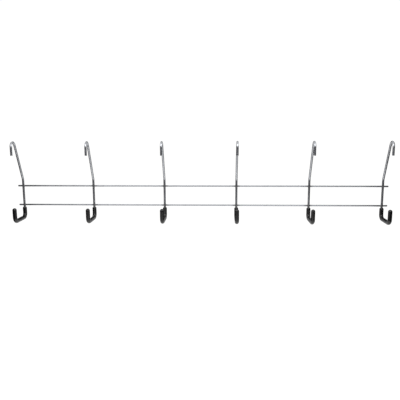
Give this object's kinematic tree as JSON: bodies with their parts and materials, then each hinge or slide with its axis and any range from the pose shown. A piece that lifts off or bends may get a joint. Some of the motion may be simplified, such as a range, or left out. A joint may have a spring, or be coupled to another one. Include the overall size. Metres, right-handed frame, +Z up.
{
  "type": "tool hanger",
  "caption": "Welded wire tool hanger: a row of bent hook wires on thin cross rails, hung over an edge by its crowns, with black vinyl sleeves on the tool hooks.",
  "frame": {"origin": "midway along the hanger, on the line under the crowns that bears on the support's edge", "axes": "+X along the rails, +Z up as it hangs, and -Y to the front, where the tool hooks open"},
  "size_m": [0.826, 0.0655, 0.1775],
  "materials": {
    "plated_wire": "satin",
    "vinyl_sleeve": "satin"
  },
  "bodies": {
    "root": {"hanger_wire_1": "plated_wire", "hanger_wire_2": "plated_wire", "hanger_wire_3": "plated_wire", "hanger_wire_4": "plated_wire", "hanger_wire_5": "plated_wire", "hanger_wire_6": "plated_wire", "upper_rail": "plated_wire", "lower_rail": "plated_wire", "hook_sleeve_1": "vinyl_sleeve", "hook_sleeve_2": "vinyl_sleeve", "hook_sleeve_3": "vinyl_sleeve", "hook_sleeve_4": "vinyl_sleeve", "hook_sleeve_5": "vinyl_sleeve", "hook_sleeve_6": "vinyl_sleeve"}
  },
  "joints": []
}
